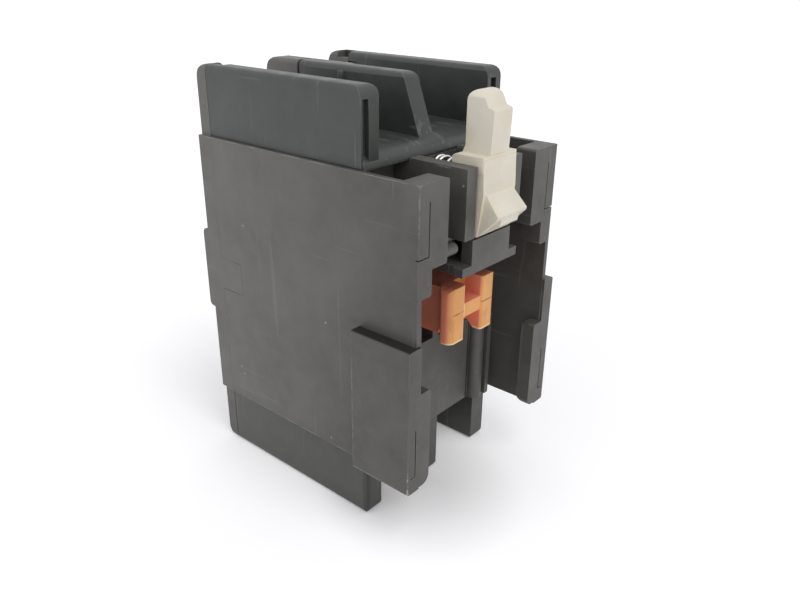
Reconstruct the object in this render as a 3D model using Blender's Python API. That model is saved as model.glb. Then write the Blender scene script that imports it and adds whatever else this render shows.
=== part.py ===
"""Two-pole auxiliary contact block with clip legs, sliding carrier and sprung release latch.

Sizes are in millimetres, measured from the front plane of the body (depth) and from the bottom of the
lower barriers (height). Right is +X, left is -X. The finished meshes are in metres.
"""
import math

import bmesh
import bpy
from mathutils import Matrix, Vector

MM = 0.001

# Clearances
SEAM = 0.1
HAIR_SEAM = 0.03
TOUCH_GAP = 0.05
SLIDE_CLEAR = 0.2
TURN_CLEAR = 0.15
PAST = 1.0

# Contact tips, bridges and springs
TIP_RADIUS = 1.1
TIP_THICK = 0.6
CONTACT_GAP = 2.8
STRIP_THICK = 0.8
BRIDGE_HALF_X = TIP_RADIUS + 0.1
CONTACT_SPRING_RADIUS = 0.95
CONTACT_WIRE = 0.16
RETURN_RADIUS = 1.75
RETURN_WIRE = 0.24

# Across the body: a terminal lies between the middle barrier and an outer one
MIDDLE_HALF = 1.4
WASHER_HALF = 3.0
WASHER_SIDE = 0.725
BARRIER_THICK = 2.51
BARRIER_INSET = 0.5
WALL = 0.6
CHAMBER_WALL = 2.0
RIB = 0.7
POLE_X = MIDDLE_HALF + WASHER_SIDE + WASHER_HALF
BARRIER_IN = POLE_X + WASHER_HALF + WASHER_SIDE
BARRIER_OUT = BARRIER_IN + BARRIER_THICK
BODY_HALF = BARRIER_OUT + BARRIER_INSET
WALL_IN = BODY_HALF - WALL
FUSE_X = WALL_IN + WALL / 2
CORE_HALF = WALL_IN - SEAM
CHAMBER_HALF_X = CORE_HALF - CHAMBER_WALL
WINDOW_HALF_X = BRIDGE_HALF_X + SLIDE_CLEAR
STEM_HALF_X = POLE_X - WINDOW_HALF_X - RIB
WING_HALF_X = POLE_X + WINDOW_HALF_X + RIB

# Heights from the middle: chamber, terminal recesses, band, barriers
STEM_HALF_Z = 2.75
WING_HALF_Z = STEM_HALF_Z + 0.25
SPRING_SIDE = 1.51
LUG_EDGE = 0.45
LUG_CLEAR = 1.3
SHELF = 1.2
WASHER_END = 0.3
BAND_EDGE = 1.75
BARRIER_RISE = 7.75
ARM_LOW = WING_HALF_Z + 0.6
TIP_OFFSET = ARM_LOW + 0.4 + TIP_RADIUS
BRIDGE_HALF_Z = TIP_OFFSET + TIP_RADIUS + 0.2
RETURN_OFFSET = WING_HALF_Z + SPRING_SIDE + RETURN_WIRE + RETURN_RADIUS
LUG_HALF_Z = RETURN_OFFSET + RETURN_RADIUS + LUG_EDGE
CHAMBER_HALF_Z = LUG_HALF_Z + LUG_CLEAR
RECESS_HALF_Z = CHAMBER_HALF_Z + SHELF
SCREW_OFFSET = RECESS_HALF_Z + WASHER_END + WASHER_HALF
BAND_HALF = SCREW_OFFSET + BAND_EDGE
MID_Z = BAND_HALF + BARRIER_RISE
TOTAL_HEIGHT = 2 * MID_Z
BAND_TOP = MID_Z + BAND_HALF
BAND_BOTTOM = MID_Z - BAND_HALF
SLAB_RISE = 1.5
SLAB_TOP = BAND_TOP + SLAB_RISE
SLAB_ROUND = 2.5

# Front cover
COVER_DEPTH = 1.65
PANEL_OUT = 0.9
PANEL_HALF = 5.05
PANEL_ROUND = 0.6
TAB_HALF = 1.95
LIP_DEPTH = COVER_DEPTH + 0.55
TAB_DEPTH = COVER_DEPTH + 4.25
BARRIER_CORNER = COVER_DEPTH - 0.15
RIGHT_GROOVE = (1.4, 2.25)
LEFT_GROOVE = (0.6, 1.6)
GROOVE_DEPTH = 0.6
RIM_ROUND = 0.6
REAR_CORNER = 1.2
TONGUE = 1.35
TONGUE_END = COVER_DEPTH + 1.9
TONGUE_X = BARRIER_IN + TONGUE
POCKET_DEPTH = 0.6
POCKET_END = TONGUE_END + 1.9
MIDDLE_TIP_END = COVER_DEPTH + 3.75
SHELF_EDGE = 0.4

# Depths from the operator's side: carrier, bridges, fixed contacts, chamber floor
STEM_FRONT = COVER_DEPTH + 4.35
SPRING_WALL = 1.4
BRIDGE_ROOM = 5.5
WING_EDGE = 1.1
LUG_THICK = 1.5
ARM_SEAT = 1.05
CHAMBER_FLOOR = 1.8
POST_RISE = 1.3
WINDOW_FRONT = STEM_FRONT + SPRING_WALL
WINDOW_REAR = WINDOW_FRONT + BRIDGE_ROOM
WING_REAR = WINDOW_REAR + WING_EDGE
LUG_REAR = STEM_FRONT + 5.0
BRIDGE_REAR = WINDOW_REAR - TOUCH_GAP
BRIDGE_FRONT = BRIDGE_REAR - STRIP_THICK
FIXED_TIP_FACE = BRIDGE_REAR + TIP_THICK + CONTACT_GAP
ARM_FRONT = FIXED_TIP_FACE + ARM_SEAT
ARM_REAR = ARM_FRONT + STRIP_THICK
CHAMBER_REAR = ARM_REAR + SEAM + POST_RISE
CORE_FRONT = COVER_DEPTH + SEAM
CORE_REAR = CHAMBER_REAR + CHAMBER_FLOOR

# Terminals
PLATE_FRONT = COVER_DEPTH + 7.35
PLATE_REAR = PLATE_FRONT + STRIP_THICK
RECESS_REAR = PLATE_REAR + SEAM
WASHER_THICK = 1.0
WASHER_REAR = PLATE_FRONT - SEAM
WASHER_FRONT = WASHER_REAR - WASHER_THICK
SCREW_RADIUS = 1.7
SCREW_REACH = 4.2
SCREW_END = PLATE_REAR + SCREW_REACH
HEAD_RADIUS = WASHER_HALF - 0.1
HEAD_HEIGHT = 2.1
SCREW_HEAD_FRONT = WASHER_FRONT - HEAD_HEIGHT
SLOT_HALF = 0.4
SLOT_DEPTH = 1.0
NECK_HALF = WASHER_HALF - 0.8
RISER_Z = CHAMBER_HALF_Z - 1.4
ARM_HALF = POLE_X - MIDDLE_HALF - 1.925

# Mating frame
FRAME_WALL = 1.5
PLATE_DEPTH = 2.5
PLATE_SKIN = 1.4
LEG_LENGTH = 6.9
LOW_LEG_EXTRA = 0.28
FRAME_WALL_FRONT = CORE_REAR + 2 * SEAM
FRAME_WALL_REAR = FRAME_WALL_FRONT + FRAME_WALL
MATING_FACE = FRAME_WALL_REAR + PLATE_DEPTH
LOW_BARRIER_END = MATING_FACE - 0.4
UP_BARRIER_END = LOW_BARRIER_END - 0.26
MIDDLE_FOOT_END = LOW_BARRIER_END - 0.9
MIDDLE_LEAN = 2.85
MIDDLE_STEP = 0.55
NIB_Y = LOW_BARRIER_END / 2
LEG_END = MATING_FACE + LEG_LENGTH
LOW_LEG_END = LEG_END + LOW_LEG_EXTRA
HOOK_THICK = 2.4
PAD_THICK = 1.4
FLANGE_IN = BODY_HALF - 4.36
NECK_IN = BODY_HALF - 2.06
FLANGE_BOTTOM = BAND_TOP - 8.4
NECK_BOTTOM = BAND_TOP - 11.15
PLATE_TOP = MID_Z - 5.15
PAD_TOP = MID_Z - 5.0
RIB_TOP = MID_Z - STEM_HALF_Z - 0.25
BLOCK_OUT = BODY_HALF + 1.39
BLOCK_LENGTH = 7.81
BLOCK_TOP = MID_Z + 0.27
BLOCK_BOTTOM = BAND_BOTTOM - 0.2
POST_X = BODY_HALF - 4.0
POST_RADIUS = 1.0
SLIT = 0.15
SLIT_DEPTH = 1.0
SLIT_NICK = 0.35
UPPER_SLIT_X = BODY_HALF - 1.61
UPPER_SLIT_LOW = FLANGE_BOTTOM + 1.25
UPPER_SLIT_HIGH = BAND_TOP - 1.75
LOWER_SLIT_X = BLOCK_OUT - 1.25
LOWER_SLIT_LOW = BAND_BOTTOM + 1.65
LOWER_SLIT_HIGH = BAND_BOTTOM + 7.35

# Release latch and the webs that carry it
SHELF_HALF = 2.9
LATCH_HALF = SHELF_HALF - 0.07
FINGER_HALF = 1.57
TOOTH_HALF = LATCH_HALF - 0.21
WEB_IN = SHELF_HALF + 0.25
WEB_THICK = 1.6
WEB_OUT = WEB_IN + WEB_THICK
TRUNNION_RADIUS = 0.8
EYE_RADIUS = TRUNNION_RADIUS + 0.05
TRUNNION_LENGTH = 1.05
TRUNNION_END = WEB_IN + TRUNNION_LENGTH
LATCH_SPRING_Z = BAND_TOP - 1.65
LATCH_SPRING_RADIUS = 1.3
LATCH_WIRE = 0.2
SEAT_THICK = 1.55
SHELF_BOTTOM = BAND_TOP - 0.6
SHELF_TOP = SHELF_BOTTOM + SEAT_THICK
SHELF_FRONT = LEG_END - 3.3
FINGER_RISE = 6.05
FINGER_TOP = SHELF_TOP + FINGER_RISE
FOLD_Z = BAND_TOP - 2.7
LATCH_BOTTOM = BAND_TOP - 7.05
LATCH_FRONT = LEG_END - 1.5
LATCH_HEEL = LEG_END + 0.05
LATCH_REAR = LEG_END + 0.6
TOOTH_TIP = LEG_END + 2.28
TOOTH_Z = FOLD_Z - 1.9
FINGER_FRONT = LATCH_REAR - 3.3
PIVOT_Y = MATING_FACE + 1.5
PIVOT_Z = LATCH_BOTTOM - 1.6
WEB_TOP = BAND_TOP + 0.15
EAR_REAR = PIVOT_Y + 1.4
LEDGE_BOTTOM = PIVOT_Z - 2.25
LEDGE_THICK = 0.95
LEDGE_TOP = LEDGE_BOTTOM + LEDGE_THICK
BAR_THICK = 1.3
BAR_FRONT = LEG_END - BAR_THICK
BAR_TOP = LATCH_BOTTOM - 0.25
BAR_HALF = WEB_IN + 0.2
SPRING_SEAT = LOW_BARRIER_END + SEAM
SEAT_END = SPRING_SEAT - TOUCH_GAP
SEAT_BOTTOM = BAND_TOP - 3.75

# Pin on the right leg
BOSS_RADIUS = 0.62
BOSS_TIP = FLANGE_IN - 2.15
BOSS_Y = LEG_END - 0.8
BOSS_Z = FLANGE_BOTTOM + 0.8

# Head of the carrier
HEAD_NECK = 2.7
HEAD_THICK = 2.4
STEM_END = MATING_FACE + HEAD_NECK
HEAD_END = STEM_END + HEAD_THICK
HEAD_HALF_X = STEM_HALF_X + 1.075
HEAD_HALF_Z = STEM_HALF_Z + 0.45
HEAD_GAP_HALF = STEM_HALF_X - 1.525
HEAD_ROUND = 0.8

FRONT_Y = -(TOOTH_TIP - PANEL_OUT) / 2


def clear_scene():
    for item in list(bpy.data.objects):
        bpy.data.objects.remove(item)
    for mesh in list(bpy.data.meshes):
        bpy.data.meshes.remove(mesh)
    for material in list(bpy.data.materials):
        bpy.data.materials.remove(material)


def make_material(name, color, roughness, metallic):
    material = bpy.data.materials.new(name)
    material.use_nodes = True
    shader = material.node_tree.nodes["Principled BSDF"]
    shader.inputs["Base Color"].default_value = (color[0], color[1], color[2], 1.0)
    shader.inputs["Roughness"].default_value = roughness
    shader.inputs["Metallic"].default_value = metallic
    material.diffuse_color = (color[0], color[1], color[2], 1.0)
    return material


def solid(bm):
    bmesh.ops.recalc_face_normals(bm, faces=bm.faces)
    mesh = bpy.data.meshes.new("solid")
    bm.to_mesh(mesh)
    bm.free()
    item = bpy.data.objects.new("solid", mesh)
    bpy.context.scene.collection.objects.link(item)
    return item


def box(x0, x1, y0, y1, z0, z1):
    bm = bmesh.new()
    bmesh.ops.create_cube(bm, size=1.0)
    size = Vector((x1 - x0, y1 - y0, z1 - z0))
    middle = Vector((x1 + x0, y1 + y0, z1 + z0)) / 2
    for vert in bm.verts:
        vert.co = Vector((vert.co.x * size.x, vert.co.y * size.y, vert.co.z * size.z)) + middle
    return solid(bm)


def place(axis, u, v, w):
    if axis == "X":
        return Vector((w, u, v))
    if axis == "Y":
        return Vector((u, w, v))
    return Vector((u, v, w))


def prism(axis, profile, low, high):
    """Closed solid with a flat outline, (y, z), (x, z) or (x, y), drawn out along one axis."""
    bm = bmesh.new()
    start = [bm.verts.new(place(axis, u, v, low)) for u, v in profile]
    end = [bm.verts.new(place(axis, u, v, high)) for u, v in profile]
    bm.faces.new(start)
    bm.faces.new(list(reversed(end)))
    count = len(profile)
    for index in range(count):
        after = (index + 1) % count
        bm.faces.new((start[index], end[index], end[after], start[after]))
    return solid(bm)


def rounded(points, steps=5):
    """Outline from (u, v, radius) corners; each corner with a radius becomes an arc."""
    outline = []
    count = len(points)
    for index in range(count):
        u, v, radius = points[index]
        corner = Vector((u, v))
        if radius <= 0:
            outline.append((u, v))
            continue
        before = Vector(points[index - 1][:2]) - corner
        after = Vector(points[(index + 1) % count][:2]) - corner
        before.normalize()
        after.normalize()
        half = before.angle(after) / 2
        reach = radius / math.tan(half)
        centre = corner + (before + after).normalized() * radius / math.sin(half)
        first = corner + before * reach - centre
        last = corner + after * reach - centre
        turn = first.angle_signed(last)
        for step in range(steps + 1):
            angle = -turn * step / steps
            cosine = math.cos(angle)
            sine = math.sin(angle)
            outline.append((
                centre.x + first.x * cosine - first.y * sine,
                centre.y + first.x * sine + first.y * cosine,
            ))
    return outline


def round_bar(axis, u, v, radius, low, high, sides=24, tip=0.0):
    """Round bar along an axis; tip is the size of a chamfer at both ends."""
    bm = bmesh.new()
    rings = [(low, radius - tip), (low + tip, radius), (high - tip, radius), (high, radius - tip)]
    if tip == 0.0:
        rings = [(low, radius), (high, radius)]
    loops = []
    for along, size in rings:
        loop = []
        for index in range(sides):
            angle = 2 * math.pi * (index + 0.5) / sides
            loop.append(bm.verts.new(place(
                axis, u + size * math.cos(angle), v + size * math.sin(angle), along)))
        loops.append(loop)
    bm.faces.new(loops[0])
    bm.faces.new(list(reversed(loops[-1])))
    for lower, upper in zip(loops, loops[1:]):
        for index in range(sides):
            after = (index + 1) % sides
            bm.faces.new((lower[index], upper[index], upper[after], lower[after]))
    return solid(bm)


def hull(points):
    bm = bmesh.new()
    for point in points:
        bm.verts.new(Vector(point))
    result = bmesh.ops.convex_hull(bm, input=bm.verts)
    extra = [item for item in result["geom_interior"] if isinstance(item, bmesh.types.BMVert)]
    if extra:
        bmesh.ops.delete(bm, geom=extra, context="VERTS")
    return solid(bm)


def boolean(target, tool, operation):
    modifier = target.modifiers.new("boolean", "BOOLEAN")
    modifier.operation = operation
    modifier.solver = "EXACT"
    modifier.object = tool
    bpy.context.view_layer.objects.active = target
    bpy.ops.object.modifier_apply(modifier=modifier.name)
    bpy.data.objects.remove(tool)
    return target


def join(target, *others):
    for other in others:
        boolean(target, other, "UNION")
    return target


def cut(target, *tools):
    for tool in tools:
        boolean(target, tool, "DIFFERENCE")
    return target


def crossed(side_view, end_view):
    """What two prisms share, so that an outline is rounded in both views."""
    return boolean(side_view, end_view, "INTERSECT")


def mirrored(item, x_sign=1, z_sign=1):
    """Mirror a solid across the middle of the width, of the height, or of both."""
    for vert in item.data.vertices:
        vert.co.x *= x_sign
        vert.co.z = MID_Z + (vert.co.z - MID_Z) * z_sign
    if x_sign * z_sign < 0:
        item.data.flip_normals()
    return item


def both_sides(make):
    return [make(), mirrored(make(), -1)]


def top_and_bottom(make):
    return [make(), mirrored(make(), 1, -1)]


def four_corners(make):
    return [make(), mirrored(make(), -1), mirrored(make(), 1, -1), mirrored(make(), -1, -1)]


def finish(item, name, material, pivot=(0.0, 0.0, 0.0), parent=None, smooth=False):
    """Name a solid, put its origin on the pivot, give it metres and a material."""
    bm = bmesh.new()
    bm.from_mesh(item.data)
    bmesh.ops.remove_doubles(bm, verts=bm.verts, dist=0.0005)
    bmesh.ops.dissolve_limit(bm, angle_limit=math.radians(0.2), verts=bm.verts, edges=bm.edges)
    bmesh.ops.recalc_face_normals(bm, faces=bm.faces)
    bm.to_mesh(item.data)
    bm.free()
    shift = Matrix.Translation(-Vector(pivot))
    item.data.transform(Matrix.Scale(MM, 4) @ shift)
    item.data.update()
    item.name = name
    item.data.name = name
    item.data.materials.clear()
    item.data.materials.append(material)
    if smooth:
        item.data.set_sharp_from_angle(angle=math.radians(35))
    holder = parent if parent is not None else ROOT
    item.parent = holder
    here = Vector(pivot) * MM
    item.location = here - Vector(holder.get("pivot", (0.0, 0.0, 0.0)))
    item["pivot"] = tuple(here)
    return item


def coil(x, z, start, end, radius, wire, turns, steps=14, sides=6):
    """Compression spring along the depth axis with one close turn at each end."""
    bm = bmesh.new()
    low = start + wire
    high = end - wire
    close = wire * 2.3
    middle = (high - low - 2 * close) / (turns - 2)
    count = int(round(turns * steps))
    loops = []
    for index in range(count + 1):
        done = turns * index / count
        if done < 1:
            along = low + close * done
            pitch = close
        elif done > turns - 1:
            along = high - close * (turns - done)
            pitch = close
        else:
            along = low + close + middle * (done - 1)
            pitch = middle
        angle = 2 * math.pi * done
        outward = Vector((math.cos(angle), 0, math.sin(angle)))
        forward = Vector((-math.sin(angle) * radius, pitch / (2 * math.pi), math.cos(angle) * radius))
        forward.normalize()
        side = forward.cross(outward)
        centre = Vector((x, along, z)) + outward * radius
        loop = []
        for step in range(sides):
            turn = 2 * math.pi * step / sides
            loop.append(bm.verts.new(centre + outward * wire * math.cos(turn) + side * wire * math.sin(turn)))
        loops.append(loop)
    bm.faces.new(loops[0])
    bm.faces.new(list(reversed(loops[-1])))
    for first, second in zip(loops, loops[1:]):
        for step in range(sides):
            after = (step + 1) % sides
            bm.faces.new((first[step], second[step], second[after], first[after]))
    return solid(bm)


def rimmed(side_view, x_low, x_high, foot, turn_steps=4):
    """Upright plate with a side outline and a rounded rim along its top."""
    end_view = rounded([
        (x_low, foot, 0),
        (x_high, foot, 0),
        (x_high, TOTAL_HEIGHT, RIM_ROUND),
        (x_low, TOTAL_HEIGHT, RIM_ROUND),
    ], turn_steps)
    return crossed(
        prism("X", side_view, x_low - PAST, x_high + PAST),
        prism("Y", end_view, -PAST, LEG_END))


def make_cover():
    """Plate with raised panel, barrier tips and open terminal windows."""
    cover = box(-BODY_HALF, BODY_HALF, 0, COVER_DEPTH, BAND_BOTTOM, BAND_TOP)
    join(cover, prism("X", rounded([
        (COVER_DEPTH / 2, MID_Z - PANEL_HALF, 0),
        (-PANEL_OUT, MID_Z - PANEL_HALF, PANEL_ROUND),
        (-PANEL_OUT, MID_Z + PANEL_HALF, PANEL_ROUND),
        (COVER_DEPTH / 2, MID_Z + PANEL_HALF, 0),
    ]), -BODY_HALF, BODY_HALF))
    foot = BAND_TOP - PAST
    tip = rounded([
        (0, foot, 0),
        (0, TOTAL_HEIGHT, BARRIER_CORNER),
        (COVER_DEPTH, TOTAL_HEIGHT, 0),
        (COVER_DEPTH, foot, 0),
    ])
    join(cover, *four_corners(lambda: rimmed(tip, BARRIER_IN, BARRIER_OUT, foot)))
    join(cover, *four_corners(lambda: box(
        BARRIER_IN, TONGUE_X, COVER_DEPTH / 2, TONGUE_END, BAND_TOP + SEAM,
        TOTAL_HEIGHT - RIM_ROUND - 2 * SEAM)))
    middle = rounded([
        (0, foot, 0),
        (0, TOTAL_HEIGHT, BARRIER_CORNER),
        (MIDDLE_TIP_END, TOTAL_HEIGHT, 0),
        (MIDDLE_TIP_END, BAND_TOP, 0),
        (COVER_DEPTH, BAND_TOP, 0),
        (COVER_DEPTH, foot, 0),
    ])
    join(cover, *top_and_bottom(lambda: rimmed(middle, -MIDDLE_HALF, MIDDLE_HALF, foot)))
    cut(cover, *four_corners(lambda: box(
        MIDDLE_HALF, BARRIER_IN, -PAST, COVER_DEPTH + PAST,
        MID_Z + RECESS_HALF_Z - SHELF_EDGE, BAND_TOP + PAST)))
    join(cover, *both_sides(lambda: box(
        WALL_IN, BODY_HALF, COVER_DEPTH / 2, LIP_DEPTH, BAND_BOTTOM, BAND_TOP)))
    join(cover, *both_sides(lambda: box(
        WALL_IN, BODY_HALF, COVER_DEPTH, TAB_DEPTH, MID_Z - TAB_HALF, MID_Z + TAB_HALF)))
    return cover


def slab_outline():
    """Side view of the floor above the terminals, falling away in an arc at the rear."""
    low = BAND_TOP - SEAM
    outline = [(CORE_FRONT, low - PAST), (CORE_REAR, low - PAST), (CORE_REAR, low)]
    arc = []
    for step in range(7):
        angle = math.radians(8 + 82 * step / 6)
        arc.append((
            LOW_BARRIER_END - SLAB_ROUND + SLAB_ROUND * math.cos(angle),
            low + (SLAB_TOP - low) * math.sin(angle),
        ))
    outline.append((arc[0][0], low))
    outline.extend(arc)
    outline.append((CORE_FRONT, SLAB_TOP))
    return outline


def make_upper_barrier(groove_low, groove_high):
    """Rear part of an upper outer barrier, with a shallow groove down its end face."""
    foot = BAND_TOP + SEAM
    barrier = rimmed(rounded([
        (CORE_FRONT, foot, 0),
        (UP_BARRIER_END, foot, 0),
        (UP_BARRIER_END, TOTAL_HEIGHT, REAR_CORNER),
        (CORE_FRONT, TOTAL_HEIGHT, 0),
    ]), BARRIER_IN, BARRIER_OUT, foot)
    return cut(barrier, box(
        BARRIER_IN + groove_low, BARRIER_IN + groove_high, UP_BARRIER_END - GROOVE_DEPTH,
        UP_BARRIER_END + PAST, foot - PAST, TOTAL_HEIGHT - BARRIER_THICK / 2))


def make_lower_barrier():
    """Rear part of a lower outer barrier, drawn above the middle and mirrored by its caller."""
    foot = BAND_TOP + SEAM
    return rimmed(rounded([
        (CORE_FRONT, foot, 0),
        (LOW_BARRIER_END, foot, 0),
        (LOW_BARRIER_END, TOTAL_HEIGHT, RIM_ROUND),
        (CORE_FRONT, TOTAL_HEIGHT, 0),
    ]), BARRIER_IN, BARRIER_OUT, foot)


def make_housing():
    """Inner moulding: barriers, floors, contact chamber, terminal recesses."""
    housing = box(-CORE_HALF, CORE_HALF, CORE_FRONT, CORE_REAR, BAND_BOTTOM + SEAM, BAND_TOP - SEAM)
    join(housing, prism("X", slab_outline(), -CORE_HALF, CORE_HALF))
    join(housing, box(-CORE_HALF, CORE_HALF, CORE_FRONT, CORE_REAR,
                      BAND_BOTTOM - SLAB_RISE, BAND_BOTTOM + SEAM + PAST))
    join(housing, make_upper_barrier(*RIGHT_GROOVE), mirrored(make_upper_barrier(*LEFT_GROOVE), -1))
    join(housing, *[mirrored(item, 1, -1) for item in both_sides(make_lower_barrier)])
    middle_front = MIDDLE_TIP_END + 4 * SEAM
    foot = BAND_TOP - PAST
    join(housing, rimmed(rounded([
        (middle_front, foot, 0),
        (NIB_Y, foot, 0),
        (NIB_Y, TOTAL_HEIGHT, 0),
        (middle_front, TOTAL_HEIGHT, 0),
    ]), -MIDDLE_HALF, MIDDLE_HALF, foot))
    join(housing, rimmed(rounded([
        (NIB_Y - PAST, foot, 0),
        (CORE_REAR, foot, 0),
        (CORE_REAR, BAND_TOP, 0),
        (MIDDLE_FOOT_END, BAND_TOP, 0),
        (MIDDLE_FOOT_END - MIDDLE_LEAN, TOTAL_HEIGHT, REAR_CORNER),
        (NIB_Y - PAST, TOTAL_HEIGHT, 0),
    ]), -MIDDLE_HALF + MIDDLE_STEP, MIDDLE_HALF, foot))
    join(housing, mirrored(rimmed(rounded([
        (middle_front, foot, 0),
        (CORE_REAR, foot, 0),
        (CORE_REAR, BAND_TOP + SEAM, 0),
        (LOW_BARRIER_END, BAND_TOP + SEAM, 0),
        (LOW_BARRIER_END, TOTAL_HEIGHT, RIM_ROUND),
        (middle_front, TOTAL_HEIGHT, 0),
    ]), -MIDDLE_HALF, MIDDLE_HALF, foot), 1, -1))
    cut(housing, *four_corners(lambda: box(
        BARRIER_IN - PAST, TONGUE_X + SEAM, CORE_FRONT - PAST, TONGUE_END + SEAM,
        BAND_TOP - SEAM, TOTAL_HEIGHT + PAST)))
    cut(housing, *four_corners(lambda: box(
        BARRIER_IN - PAST, BARRIER_IN + POCKET_DEPTH, TONGUE_END - POCKET_DEPTH, POCKET_END,
        SLAB_TOP, TOTAL_HEIGHT - RIM_ROUND - 5 * SEAM)))
    cut(housing, *top_and_bottom(lambda: box(
        -MIDDLE_HALF - 2 * SEAM, MIDDLE_HALF + 2 * SEAM, CORE_FRONT - PAST, MIDDLE_TIP_END + SEAM,
        BAND_TOP - SEAM, TOTAL_HEIGHT + PAST)))
    cut(housing, box(-CHAMBER_HALF_X, CHAMBER_HALF_X, CORE_FRONT - PAST, CHAMBER_REAR,
                     MID_Z - CHAMBER_HALF_Z, MID_Z + CHAMBER_HALF_Z))
    cut(housing, *four_corners(lambda: box(
        MIDDLE_HALF, BARRIER_IN, CORE_FRONT - PAST, RECESS_REAR,
        MID_Z + RECESS_HALF_Z, SLAB_TOP + PAST)))
    cut(housing, *four_corners(lambda: box(
        POLE_X - NECK_HALF - SEAM, POLE_X + NECK_HALF + SEAM, PLATE_FRONT - SEAM, RECESS_REAR,
        MID_Z + CHAMBER_HALF_Z - PAST, MID_Z + RECESS_HALF_Z + PAST)))
    cut(housing, *four_corners(lambda: round_bar(
        "Y", POLE_X, MID_Z + SCREW_OFFSET, SCREW_RADIUS + 2 * SLIDE_CLEAR,
        RECESS_REAR - PAST, SCREW_END + PAST)))
    cut(housing, box(-STEM_HALF_X - SLIDE_CLEAR, STEM_HALF_X + SLIDE_CLEAR, CHAMBER_REAR - PAST,
                     CORE_REAR + PAST, MID_Z - STEM_HALF_Z - SLIDE_CLEAR,
                     MID_Z + STEM_HALF_Z + SLIDE_CLEAR))
    join(housing, *four_corners(lambda: box(
        POLE_X - ARM_HALF + 2 * SEAM, POLE_X + ARM_HALF - 2 * SEAM, ARM_REAR + SEAM,
        CHAMBER_REAR + CHAMBER_FLOOR / 3, MID_Z + ARM_LOW + 0.6, MID_Z + RISER_Z - 2 * SEAM)))
    nib_top = TOTAL_HEIGHT - RIM_ROUND
    join(housing, box(MIDDLE_HALF - RIM_ROUND, MIDDLE_HALF + 0.3, NIB_Y - 0.3, NIB_Y + 0.3,
                      nib_top - 1.1, nib_top))
    return housing


def make_leg():
    """Upper flange and neck of a leg, the lower pad behind them, and the raised outer block."""
    flange = prism("Y", rounded([
        (FUSE_X, NECK_BOTTOM, 0),
        (FUSE_X, BAND_TOP, 0),
        (FLANGE_IN, BAND_TOP, 0.3),
        (FLANGE_IN, FLANGE_BOTTOM, 0.3),
        (NECK_IN, FLANGE_BOTTOM, 0),
        (NECK_IN, NECK_BOTTOM, 0.3),
    ]), LEG_END - HOOK_THICK, LEG_END)
    pad = crossed(
        prism("Y", rounded([
            (NECK_IN, BAND_BOTTOM, 1.0),
            (NECK_IN, PAD_TOP, 0.3),
            (FUSE_X, PAD_TOP, 0),
            (FUSE_X, BAND_BOTTOM, 0),
        ]), MATING_FACE, LOW_LEG_END),
        prism("X", rounded([
            (LEG_END - PAD_THICK, BAND_BOTTOM, PAD_THICK),
            (LEG_END - PAD_THICK, PAD_TOP, 0.3),
            (LOW_LEG_END, PAD_TOP, 0),
            (LOW_LEG_END, BAND_BOTTOM, 0),
        ]), NECK_IN - PAST, FUSE_X + PAST))
    block = prism("Y", rounded([
        (WALL_IN + WALL / 4, BLOCK_BOTTOM, 0),
        (WALL_IN + WALL / 4, BLOCK_TOP, 0),
        (BLOCK_OUT, BLOCK_TOP, 0.25),
        (BLOCK_OUT, BLOCK_BOTTOM, 0.25),
    ], 3), LOW_LEG_END - BLOCK_LENGTH, LOW_LEG_END)
    return flange, pad, block


def add_latch_carrier(frame):
    """Webs, ears, ledge, bar and spring seat that hold the latch between them."""
    behind_wall = FRAME_WALL_REAR - FRAME_WALL / 3
    seat_top = BAND_TOP - 2 * SEAM
    join(frame, *both_sides(lambda: box(
        WEB_IN, WEB_OUT, SPRING_SEAT, LEG_END, LATCH_BOTTOM, WEB_TOP)))
    join(frame, *both_sides(lambda: box(
        WEB_IN, WEB_OUT, behind_wall, SPRING_SEAT + PAST / 2, LEDGE_BOTTOM, seat_top)))
    join(frame, *both_sides(lambda: box(
        WEB_IN, WEB_OUT, SPRING_SEAT - PAST / 2, EAR_REAR, LEDGE_BOTTOM, LATCH_BOTTOM + PAST / 2)))
    join(frame, box(-WEB_OUT + SLIDE_CLEAR, WEB_OUT - SLIDE_CLEAR, behind_wall, LEG_END - 0.5,
                    LEDGE_BOTTOM, LEDGE_TOP))
    join(frame, box(-WEB_OUT - SEAM, WEB_OUT + SEAM, BAR_FRONT, LEG_END, LEDGE_BOTTOM, LEDGE_TOP))
    join(frame, box(-BAR_HALF, BAR_HALF, BAR_FRONT, LEG_END, LEDGE_TOP - SLIDE_CLEAR, BAR_TOP))
    join(frame, box(-WEB_IN - 0.3, WEB_IN + 0.3, behind_wall, SEAT_END, SEAT_BOTTOM, seat_top))
    join(frame, round_bar("Y", 0, LATCH_SPRING_Z, LATCH_SPRING_RADIUS - 0.5,
                          SEAT_END - PAST, SPRING_SEAT + PAST, 16, TURN_CLEAR))
    cut(frame, *both_sides(lambda: round_bar(
        "X", PIVOT_Y, PIVOT_Z, TRUNNION_RADIUS + TURN_CLEAR, WEB_IN - PAST / 2,
        TRUNNION_END + SLIDE_CLEAR)))


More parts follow.
